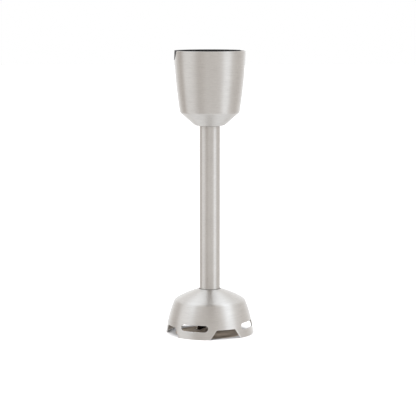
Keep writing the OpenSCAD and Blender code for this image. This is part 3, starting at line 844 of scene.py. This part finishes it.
def tube():
    section = ring_section(TUBE_BORE, TUBE_R, TUBE_LOW, TUBE_TOP, 0.1)
    stands_for(spun("tube", section, BRUSHED, 160), "outer_tube")
    # narrow beads where the tube is welded to the guard and the cup, in a dark steel that paints the shade in these
    # joints
    r, top, low = TUBE_R, GUARD_TOP, CUP_Z
    guard_bead = [(r + 0.02, top - 0.3), (r + 0.6, top - 0.3, 0.05), (r + 0.4, top + 0.1, 0.1),
                  (r + 0.02, top + 0.25, 0.05)]
    cup_bead = [(r + 0.02, low - 0.35, 0.05), (r + 0.35, low - 0.2, 0.1), (r + 0.5, low + 0.1, 0.05),
                (r + 0.02, low + 0.1)]
    for name, section in (("guard_weld", guard_bead), ("cup_weld", cup_bead)):
        stands_for(spun(name, section, WELD_SHADE, 128), "outer_tube", in_its_place=False)


GUARD_SHEET = 0.9
FEET = 4
FOOT_TURN = math.radians(-112)
SLOT_LEN, SLOT_H, SLOT_Z = 23.8, 5.25, 9.1
NOTCH_FOOT_W, NOTCH_TOP_W, NOTCH_H = 14.0, 8.2, 8.0


def guard():
    # centres of the arcs of the skirt and the dome, and the rounded shoulder between them
    skirt_r, dome_r = 100.0, 81.0
    skirt_x, skirt_z = GUARD_R - 99.5, -10.0
    dome_x, dome_z = -13.0, GUARD_TOP - 78.1
    shoulder = (GUARD_R - 7.05, 28.15)

    def skirt(a):
        return skirt_x + skirt_r * math.cos(a), skirt_z + skirt_r * math.sin(a)

    def dome(a):
        return dome_x + dome_r * math.cos(a), dome_z + dome_r * math.sin(a)

    foot, top = math.asin(-skirt_z / skirt_r), math.asin((shoulder[1] - 3.5 - skirt_z) / skirt_r)
    path = [skirt(foot + (top - foot) * i / 12) for i in range(13)]
    path.append((*shoulder, 5.0))
    start = math.acos((shoulder[0] - 3.5 - dome_x) / dome_r)
    end = math.acos((TUBE_R + PRESS_GAP - dome_x) / dome_r)
    path += [dome(start + (end - start) * i / 12) for i in range(13)]
    profile = Profile(path)

    def on_sheet(middle, w, z):
        """(angle, run) of the point of the sheet w beside the direction middle, at the height z."""
        run = profile.height(z * MM)
        return middle + math.asin(w * MM / profile.at(run)[0]), run

    def filled(rows, gap=1.0):
        """Outline rows with points added along its long straight stretches."""
        made = []
        for a, b in zip(rows, rows[1:]):
            steps = max(1, math.ceil(math.hypot(b[0] - a[0], b[1] - a[1]) / gap))
            made += [(a[0] + (b[0] - a[0]) * k / steps, a[1] + (b[1] - a[1]) * k / steps) for k in range(steps)]
        return made

    quarter = TAU / FEET
    half = smooth_outline(
        [(0, NOTCH_H), (NOTCH_TOP_W, NOTCH_H, 1.6), (NOTCH_FOOT_W, 0, 1.5), (NOTCH_FOOT_W + 2, 0)],
        closed=False, step=12,
    )
    half = filled([(w, z) for w, z, _, _ in half][:-1])
    edge, slots = [], []
    for i in range(FEET):
        notch = FOOT_TURN + quarter * (i - 0.5)
        following = notch + quarter
        right = [on_sheet(notch, w, z) for w, z in half]
        left = [on_sheet(following, -w, z) for w, z in reversed(half)]
        steps = 24
        foot_line = [(right[-1][0] + (left[0][0] - right[-1][0]) * k / steps, 0.0) for k in range(1, steps)]
        edge += right + foot_line + left[:-1]
        r, outline = SLOT_H / 2, []
        reach = SLOT_LEN / 2 - r
        for side in (1, -1):
            outline.append((-side * reach, SLOT_Z + side * r))
            outline += [(side * (reach + r * math.sin(a)), SLOT_Z + side * r * math.cos(a))
                        for a in (math.pi * k / 12 for k in range(12))]
        slots.append([on_sheet(FOOT_TURN + quarter * i, w, z) for w, z in filled(outline + outline[:1])])
    stands_for(cut_sheet("guard_shell", profile, GUARD_SHEET * MM, 0.3 * MM, edge, slots, 14.5 * MM,
                         [BRUSHED, CUT_EDGE, INNER]), "blade_guard")


cup()
tube()
guard()


# ---------------------------------------------------------------- socket liner and its screws

LINER_GAP = 0.1
SOCKET_R, SOCKET_DEPTH = 26.4, 16.0
CONE_TOP_R, CONE_FLOOR_R = 25.6, 22.4      # the socket's lower, tapering part
FLOOR_T = 2.6
CHIMNEY_R, CHIMNEY_BORE, CHIMNEY_H = 11.4, 9.4, 26.6
WINDOW_W, WINDOW_H = 10.0, 5.0
RELIEF_HALF_W, RELIEF_DEPTH = 13.4, 1.5
SCREW_RING_R, SCREW_R = 16.6, 1.5
SCREW_PLACES = [(SCREW_RING_R * math.cos(a), SCREW_RING_R * math.sin(a)) for a in map(math.radians, (90, 210, 330))]


def liner():
    floor_z, top_z = LINER_FLOOR, LINER_TOP
    rows = 9
    heights = [floor_z + 0.01 + (CUP_RIM - floor_z) * i / rows for i in range(rows + 1)]
    outside = [(cup_radius(z) - CUP_SHEET - LINER_GAP - 0.02, z) for z in heights]
    rim_r = outside[-1][0]
    section = [(CHIMNEY_BORE, floor_z, 0.3), (outside[0][0], floor_z, 0.3)] + outside[1:-1]
    section += [
        (rim_r, top_z, 0.35), (SOCKET_R, top_z, 0.6), (SOCKET_R, top_z - SOCKET_DEPTH, 0.25),
        (CONE_TOP_R, top_z - SOCKET_DEPTH, 0.4), (CONE_FLOOR_R, floor_z + FLOOR_T, 1.0),
        (CHIMNEY_R, floor_z + FLOOR_T, 0.8), (CHIMNEY_R - 0.15, floor_z + CHIMNEY_H, 0.4),
        (CHIMNEY_BORE, floor_z + CHIMNEY_H, 0.4),
    ]
    piece = spun("socket_liner_shell", section, BLACK, 144)

    window_z = floor_z + 16
    cutters = [block("cut", CUP_R / 2, CUP_R + 1, -RELIEF_HALF_W, RELIEF_HALF_W, top_z - RELIEF_DEPTH, top_z + 1)]
    for side in (-1, 1):
        y0, y1 = sorted((side * 20, side * (CUP_R + 1)))
        cutters.append(block("cut", -WINDOW_W / 2, WINDOW_W / 2, y0, y1, window_z, window_z + WINDOW_H))
    cutters += [prism("cut", circle(x, y, SCREW_R + 0.15), floor_z - 1, floor_z + FLOOR_T + 1)
                for x, y in SCREW_PLACES]
    combine(piece, cutters, "DIFFERENCE")

    # pad that fills the dip in the cup's rim, flush with the cup's outside
    dip_low = DIP_Z - DIP_R
    pad = spun("pad", [(27.6, dip_low - 1), (29.35, dip_low - 1), (29.15, top_z - 3), (29.05, top_z, 0.3),
                       (27.6, top_z)], BLACK, 144)
    plug = prism("cut", circle(DIP_Z, 0, DIP_R - 0.25, 64), 20, 32)
    # the plug's own X goes up and its Z to -X
    plug.data.transform(Matrix(((0, 0, -1, 0), (0, 1, 0, 0), (1, 0, 0, 0), (0, 0, 0, 1))))
    combine(pad, [plug], "INTERSECT")
    ribs = [turned_by(block("rib", 20.8, 22.8, -0.9, 0.9, floor_z + FLOOR_T - 0.5, floor_z + FLOOR_T + 18.5), 60 * i)
            for i in range(6)]
    combine(piece, [pad] + ribs, "UNION", BLACK)
    stands_for(bevelled(piece, 0.22, 50), "socket_liner")


def screws():
    head_r, head_h, length, tip = 2.8, 2.0, 5.9, 0.6
    top = LINER_FLOOR + FLOOR_T
    section = [
        (0, top - length), (SCREW_R - 0.5, top - length), (SCREW_R, top - length + tip, 0.2), (SCREW_R, top, 0.05),
        (head_r, top, 0.15), (head_r - 0.1, top + head_h * 0.62, 0.9), (0, top + head_h),
    ]
    for i, (x, y) in enumerate(SCREW_PLACES):
        piece = spun(f"liner_screw_{i + 1}", section, FASTENER, 48, closed=False)
        wings = [block("cut", -1.7, 1.7, -0.36, 0.36, top + head_h - 1.2, top + head_h + 1) for _ in range(2)]
        recess = [turned_by(wing, turn + 20 * i) for wing, turn in zip(wings, (0, 90))]
        combine(piece, recess, "DIFFERENCE", FASTENER)
        stands_for(moved_by(bevelled(piece, 0.08, 40), x, y, 0), "liner_screws", in_its_place=i == 0)


# ---------------------------------------------------------------- bearings and seals

def bearings():
    bore = SHAFT_R + 0.6
    plug_r = TUBE_BORE - PRESS_GAP

    def groove(z):
        """Groove of an O-ring round a plug in the tube."""
        groove_r, half_w = 6.05, 1.0
        return [(plug_r, z - half_w, 0.1), (groove_r, z - half_w, 0.2), (groove_r, z + half_w, 0.2),
                (plug_r, z + half_w, 0.1)]

    flange_r, low, top = size("upper_bearing_housing")
    ring_z, cone_z = CUP_Z - 15, CUP_Z + 0.8
    bush_r, bush_low, _ = size("upper_bush")
    seat = bush_r + PRESS_GAP
    section = [(bore, low, 0.2), (plug_r - 0.6, low), (plug_r, low + 0.6), *groove(ring_z),
               (plug_r, cone_z, 0.1), (11.3, cone_z, 0.4), (flange_r, CUP_WAIST_Z, 0.5),
               (flange_r, top, 0.5), (seat, top, 0.3), (seat, bush_low, 0.1), (bore, bush_low, 0.1)]
    stands_for(spun("upper_housing", section, GREY, 112), "upper_bearing_housing")

    _, low, top = size("middle_guide")
    middle = (low + top) / 2
    middle_rings = [middle - 5, middle + 5]
    bush_r, bush_low, _ = size("middle_bush")
    seat = bush_r + PRESS_GAP
    section = [(bore, low, 0.2), (plug_r, low, 0.5), *groove(middle_rings[0]), *groove(middle_rings[1]),
               (plug_r, top, 0.5), (seat, top, 0.2), (seat, bush_low, 0.1), (bore, bush_low, 0.1)]
    stands_for(spun("shaft_guide", section, GREY), "middle_guide")

    _, low, top = size("lower_bearing_housing")
    bush_r, bush_low, bush_top = size("lower_bush")
    seal_r, seal_low, seal_top = size("shaft_seal")
    boss_r, flange_r, ledge_r, flange_z, flange_h = 10.4, 12.6, 5.9, GUARD_TOP - 4.4, 1.3
    seat, seal_seat = bush_r + PRESS_GAP, seal_r + PRESS_GAP
    section = [
        (seal_seat, low, 0.25), (boss_r, low, 0.8), (boss_r, flange_z - 2, 0.6), (flange_r, flange_z, 0.3),
        (flange_r, flange_z + flange_h, 0.3), (plug_r, flange_z + flange_h, 0.2), *groove(top - 7),
        (plug_r, top, 0.6), (bore, top, 0.2), (bore, bush_top, 0.1), (seat, bush_top, 0.1), (seat, bush_low, 0.1),
        (ledge_r, bush_low, 0.1), (ledge_r, seal_top, 0.1), (seal_seat, seal_top, 0.1),
    ]
    stands_for(spun("lower_housing", section, BLACK, 112), "lower_bearing_housing")

    for name, node in (("bush_top", "upper_bush"), ("bush_middle", "middle_bush"), ("bush_low", "lower_bush")):
        stands_for(spun(name, ring_section(SHAFT_R + 0.03, *size(node), 0.3), BRONZE, 80), node)

    wire_r = 0.8
    for name, node, z, first in (
        ("o_ring_top", "upper_o_ring", ring_z, True), ("o_ring_middle_1", "middle_o_rings", middle_rings[0], True),
        ("o_ring_middle_2", "middle_o_rings", middle_rings[1], False),
        ("o_ring_low", "lower_o_ring", size("lower_o_ring")[1] + wire_r, True),
    ):
        ring_r = size("upper_o_ring")[0] - wire_r
        stands_for(spun(name, circle(ring_r, z, wire_r, 16), RUBBER, 80), node, in_its_place=first)

    r, z = SHAFT_R + 0.03, seal_low
    section = [
        (r, z, 0.1), (seal_r, z, 0.3), (seal_r, seal_top, 0.2), (seal_r - 1.2, seal_top, 0.1),
        (seal_r - 1.4, z + 1.2, 0.3), (r + 1.9, z + 1.2, 0.2), (r + 1.3, z + 1.9, 0.1),
        (r + 0.8, z + 2.4, 0.25), (r + 1.3, z + 2.9, 0.1), (r + 1.2, z + 3.3, 0.1), (r, z + 2.8, 0.05),
    ]
    stands_for(spun("lip_seal", section, RUBBER), "shaft_seal")
    # the spring lies in the groove round the seal's lip
    stands_for(spun("garter_spring", circle(r + 1.45, z + 2.4, 0.35, 12), SPRING), "seal_garter_spring")
    plate = ring_section(SHAFT_R + 1, *size("seal_retainer"), 0.15)
    stands_for(spun("retainer_plate", plate, FACED), "seal_retainer")


# ---------------------------------------------------------------- shaft, washers, clips and spring

FLAT = 2.3                       # distance of the shaft's flats from its axis
CLIP_T, CLIP_DEPTH = 0.8, 0.6
STUB_R = 2.5                     # the shaft's threaded end


def flatted(r, flat=FLAT):
    """Radius function of a round bar with two flats across X, at the distance flat from the axis."""
    return lambda a: min(r, flat / max(abs(math.cos(a)), 1e-6))


def shaft():
    r, low, top = size("drive_shaft")
    flat_z = size("coupling_spring")[1] - PRESS_GAP + 1
    shoulder = size("blade_hub")[1]
    stations = [(low, 0), (low, 2.0), (low + 0.6, STUB_R)]
    # thread of the stub that the blade nut is screwed on
    pitch, root_r, z = 0.8, 2.2, low + 0.8
    while z < shoulder - 3.2:
        stations += [(z, STUB_R), (z + pitch * 0.4, root_r), (z + pitch * 0.6, root_r), (z + pitch, STUB_R)]
        z += pitch
    stations += [(shoulder, STUB_R), (shoulder, r - 0.15), (shoulder + 0.15, r)]

    def clip_groove(node, full, cut):
        z0, z1 = size(node)[1] - 0.03, size(node)[1] + CLIP_T + 0.03
        return [(z0, full), (z0, cut), (z1, cut), (z1, full)]

    stations += clip_groove("lower_circlip", r, r - CLIP_DEPTH) + clip_groove("upper_circlip", r, r - CLIP_DEPTH)
    stations += [(flat_z, r), (flat_z + 0.01, flatted(r))]
    stations += clip_groove("coupling_clip", flatted(r), flatted(r - CLIP_DEPTH))
    stations += [(top - 0.6, flatted(r)), (top, flatted(r - 0.6)), (top, 0)]
    stands_for(loft("shaft", stations, TURNED, closed=False), "drive_shaft")


def washers():
    for name, node in (("thrust_washer_top", "upper_thrust_washer"), ("spring_washer", "spring_seat"),
                       ("thrust_washer_low", "lower_thrust_washer")):
        stands_for(spun(name, ring_section(SHAFT_R + 0.1, *size(node)), FACED, 80), node)


def clips():
    """Snap rings with a gap."""
    for name, node in (("clip_top", "upper_circlip"), ("clip_low", "lower_circlip"),
                       ("clip_coupling", "coupling_clip")):
        low_corner, high_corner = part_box(node)
        r, inner, gap, steps = -low_corner.x / MM, SHAFT_R - 0.55, 1.2, 60
        a_in, a_out = math.asin(gap / inner), math.asin(gap / r)
        outline = arc(r, a_out, TAU - a_out, steps) + arc(inner, TAU - a_in, a_in, steps)
        piece = prism(name, outline, low_corner.z / MM, high_corner.z / MM)
        piece.data.materials.append(SPRING)
        stands_for(bevelled(piece, 0.08, 40), node)


def spring():
    lo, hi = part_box("coupling_spring")
    wire_r, r, turns, sides, per_turn = 0.4, 4.8, 4, 14, 40
    low, high = lo.z / MM + wire_r, hi.z / MM - wire_r
    steps = turns * per_turn
    places, faces = [], []
    for i in range(steps + 1):
        a, z = TAU * i / per_turn, low + (high - low) * i / steps
        wire = wire_r if 0 < i < steps else 0.7 * wire_r
        for across, up in arc(wire, 0, TAU, sides)[:-1]:
            places.append(((r + across) * math.cos(a) * MM, (r + across) * math.sin(a) * MM, (z + up) * MM))
    for i in range(steps):
        for k in range(sides):
            n = (k + 1) % sides
            faces.append([i * sides + k, (i + 1) * sides + k, (i + 1) * sides + n, i * sides + n])
    faces += [list(range(sides)), [steps * sides + k for k in reversed(range(sides))]]
    piece = mesh_piece("return_spring", places, faces, [SPRING], crease=60)
    stands_for(piece, "coupling_spring")
    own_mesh(piece)


# ---------------------------------------------------------------- blade and what holds it

BLADE_T = 1.4
BLADE_HOLE_R = 2.6
BLADE_BEND_X, BLADE_BEND_R = 14.0, 6.0
BLADE_BEND = math.radians(23)
BLADE_TURN = -111


def bent(x, z, down):
    """Folds a point of the flat blade (x along it, z above its middle) down or up past the bend."""
    start = BLADE_BEND_X - BLADE_BEND_R * math.tan(BLADE_BEND / 2)
    if abs(x) <= start:
        return x, z
    side, sign = math.copysign(1, x), -1 if down else 1
    a = min((abs(x) - start) / BLADE_BEND_R, BLADE_BEND)
    past = abs(x) - start - a * BLADE_BEND_R
    reach = start + BLADE_BEND_R * math.sin(a) + past * math.cos(a)
    rise = BLADE_BEND_R * (1 - math.cos(a)) + past * math.sin(a)
    return side * (reach - sign * z * math.sin(a)), sign * rise + z * math.cos(a)


def moved_in(outline, insets):
    """Outline whose edges, from each point to the next, are moved to the left by their insets."""
    lines, made = [], []
    for (x, y), (nx, ny), inset in zip(outline, outline[1:] + outline[:1], insets):
        dx, dy = unit(nx - x, ny - y)
        lines.append((x - dy * inset, y + dx * inset, dx, dy))
    for i, (x, y) in enumerate(outline):
        ax, ay, ux, uy = lines[i - 1]
        bx, by, vx, vy = lines[i]
        cross = ux * vy - uy * vx
        if abs(cross) < 0.2:  # nearly in line: the smaller inset, so that a deep one runs out
            inset = min(insets[i - 1], insets[i])
            made.append((x - vy * inset, y + vx * inset))
        else:
            t = ((bx - ax) * vy - (by - ay) * vx) / cross
            made.append((ax + ux * t, ay + uy * t))
    return made


def blade():
    reach, root_w, bend_w, boss_r, boss_x = 11.0, 5.4, 4.5, 6.6, 3.6
    ground, chamfer, thin = 1.9, 0.18, 0.3
    low, top = -BLADE_T / 2, BLADE_T / 2
    # half of the blade's outline, counter-clockwise from the boss's right side to its left side. Only the edge
    # that follows its second point is ground, and the others are rounded off
    boss_y = math.sqrt(boss_r**2 - boss_x**2)
    half = [
        (boss_x, -boss_y), (BLADE_BEND_X, -bend_w), (BLADE_BEND_X + 0.98 * reach, -0.92 * bend_w),
        (BLADE_BEND_X + 0.9 * reach, 0.1 * bend_w), (BLADE_BEND_X + 0.55 * reach, 0.9 * bend_w),
        (BLADE_BEND_X, bend_w), (7.6, root_w - 0.48), (boss_x, boss_y),
    ]
    a0 = math.atan2(boss_y, boss_x)
    half += arc(boss_r, a0, math.pi - a0, 6)[1:-1]
    outline = half + [(-x, -y) for x, y in half]
    insets = [ground if i == 1 else chamfer for i in range(len(half))] * 2

    flat, edges, heights, on_ground = [], [], [], []

    def loop(points, tops, gap=0.9):
        """Adds a closed line of points to the flat drawing, with the height of the top over each edge of it."""
        first = len(flat)
        for i, (a, b) in enumerate(zip(points, points[1:] + points[:1])):
            steps = max(1, math.ceil(math.hypot(b[0] - a[0], b[1] - a[1]) / gap))
            for k in range(steps):
                flat.append(Vector((a[0] + (b[0] - a[0]) * k / steps, a[1] + (b[1] - a[1]) * k / steps)))
                heights.append(tops[i] if k else max(tops[i - 1], tops[i]))
                on_ground.append(tops[i] < 0)
        ids = list(range(first, len(flat)))
        edges.extend(zip(ids, ids[1:] + ids[:1]))
        return ids

    rim = loop(outline, [low + thin if inset > chamfer else top - chamfer for inset in insets])
    loop(moved_in(outline, insets), [top] * len(outline))
    sides = 32
    loop(circle(0, 0, BLADE_HOLE_R + chamfer, sides)[::-1], [top] * sides)
    bore = loop(circle(0, 0, BLADE_HOLE_R, sides)[::-1], [top - chamfer] * sides)
    # points of the bend
    for side in (-1, 1):
        for x in (BLADE_BEND_X - 1.6 + 0.4 * k for k in range(9)):
            for y in (-3.4, -2.0, -0.6, 0.8):
                flat.append(Vector((x * side, y * side)))
                heights.append(top)
                on_ground.append(False)
    _, _, triangles, origins, _, _ = delaunay_2d_cdt(flat, edges, [], 2, 1e-6, True)

    places, faces, slots, shift = [], [], [], len(flat)
    for level in (heights, [low] * shift):
        for p, z in zip(flat, level):
            x, z = bent(p.x, z, down=p.x > 0)
            places.append((x * MM, p.y * MM, z * MM))
    for triangle in triangles:
        ids = [origins[v][0] for v in triangle]
        a, b, c = (flat[v] for v in ids)
        if (b - a).cross(c - a) < 0:
            ids.reverse()
        faces += [ids, [v + shift for v in reversed(ids)]]
        slots += [int(any(on_ground[v] for v in ids)), 0]
    for ids in (rim, bore):
        for v, n in zip(ids, ids[1:] + ids[:1]):
            faces.append([v, v + shift, n + shift, n])
            slots.append(0)
    piece = mesh_piece("blade_wings", places, faces, [BLADE, GROUND], crease=18)
    piece.data.polygons.foreach_set("material_index", slots)
    turned_by(piece, BLADE_TURN)
    stands_for(moved_by(piece, 0, 0, size("blade_hub")[1] - 0.1 - BLADE_T / 2), "blade")


def blade_fasteners():
    r, low, top = size("blade_hub")
    bore, neck_r = SHAFT_R + PRESS_GAP, 5.4
    section = [(bore, low, 0.2), (r, low, 0.3), (r, low + 2.2, 0.5), (neck_r, low + 3, 0.6), (neck_r, top - 0.5),
               (neck_r - 0.5, top, 0.2), (bore, top, 0.1)]
    stands_for(spun("hub", section, TURNED), "blade_hub")
    section = ring_section(BLADE_HOLE_R, *size("blade_washer"), 0.15)
    stands_for(spun("washer_blade", section, FACED, 80), "blade_washer")

    _, low, top = size("blade_nut")
    corner_r, dome_r, dome_h, dome_steps = 4.6, 3.6, 1.1, 7
    flat = corner_r * math.cos(math.pi / 6)

    def hexagon(limit):
        """Radius function of the nut's hexagon, turned down to limit at its corners."""
        return lambda a: min(flat / math.cos((a % (math.pi / 3)) - math.pi / 6), limit)

    quarter = (math.pi / 2 * k / dome_steps for k in range(dome_steps + 1))
    stations = [(low + dome_h * (1 - math.cos(a)), dome_r * math.sin(a)) for a in quarter]
    stations += [
        (low + dome_h, hexagon(flat + 0.1)), (low + dome_h + 0.3, hexagon(corner_r)), (top - 0.3, hexagon(corner_r)),
        (top, hexagon(flat + 0.1)), (top, BLADE_HOLE_R), (low + 1.6, BLADE_HOLE_R), (low + 1.4, 0),
    ]
    stands_for(loft("acorn_nut", stations, FASTENER, closed=False), "blade_nut")


# ---------------------------------------------------------------- sprung coupling

def coupling():
    insert_r, low, top = size("coupling_hub")
    edge = 0.15
    bore, wider = (flatted(SHAFT_R + gap, FLAT + gap) for gap in (0.03, 0.18))
    stations = [(low, wider), (low, insert_r - edge), (low + edge, insert_r), (top - edge, insert_r),
                (top, insert_r - edge), (top, wider), (top - edge, bore), (low + edge, bore)]
    stands_for(loft("coupling_insert", stations, FACED), "coupling_hub")

    r, low, top = size("drive_coupling")
    web, tooth_top, teeth, socket_r, tooth_r = low + 7, top - 1, 6, 6.4, insert_r + PRESS_GAP
    half, flank = math.radians(11.5), math.radians(3.5)  # half of a tooth's width, and the width of its sides

    def toothed(share_out, slim=0.0):
        """Radius function of the socket with its teeth, which stand out by a share and are slimmer by an angle."""
        def radius(a):
            pitch = TAU / teeth
            off = abs((a + pitch / 2) % pitch - pitch / 2)
            share = min(1.0, max(0.0, (half - slim - off) / flank + 0.5))
            return socket_r - (socket_r - tooth_r) * share_out * share * share * (3 - 2 * share)
        return radius

    stations = [
        (low, tooth_r), (low, r - 0.4), (low + 0.12, r - 0.12), (low + 0.4, r), (top - 0.5, r),
        (top - 0.15, r - 0.15), (top, r - 0.5), (top, socket_r + 0.4), (top - 0.15, socket_r + 0.1),
        (top - 0.5, socket_r), (tooth_top - 0.02, socket_r), (tooth_top - 0.1, toothed(0.55, 0.03)),
        (tooth_top - 0.5, toothed(0.93, 0.01)), (tooth_top - 1.0, toothed(1.0)), (web + 0.25, toothed(1.0)),
        (web, toothed(0.8)), (web, tooth_r - 0.001),
    ]
    stands_for(loft("coupling_body", stations, BLACK, 240, crease=38), "drive_coupling")


liner()
screws()
bearings()
shaft()
washers()
clips()
spring()
blade()
blade_fasteners()
coupling()
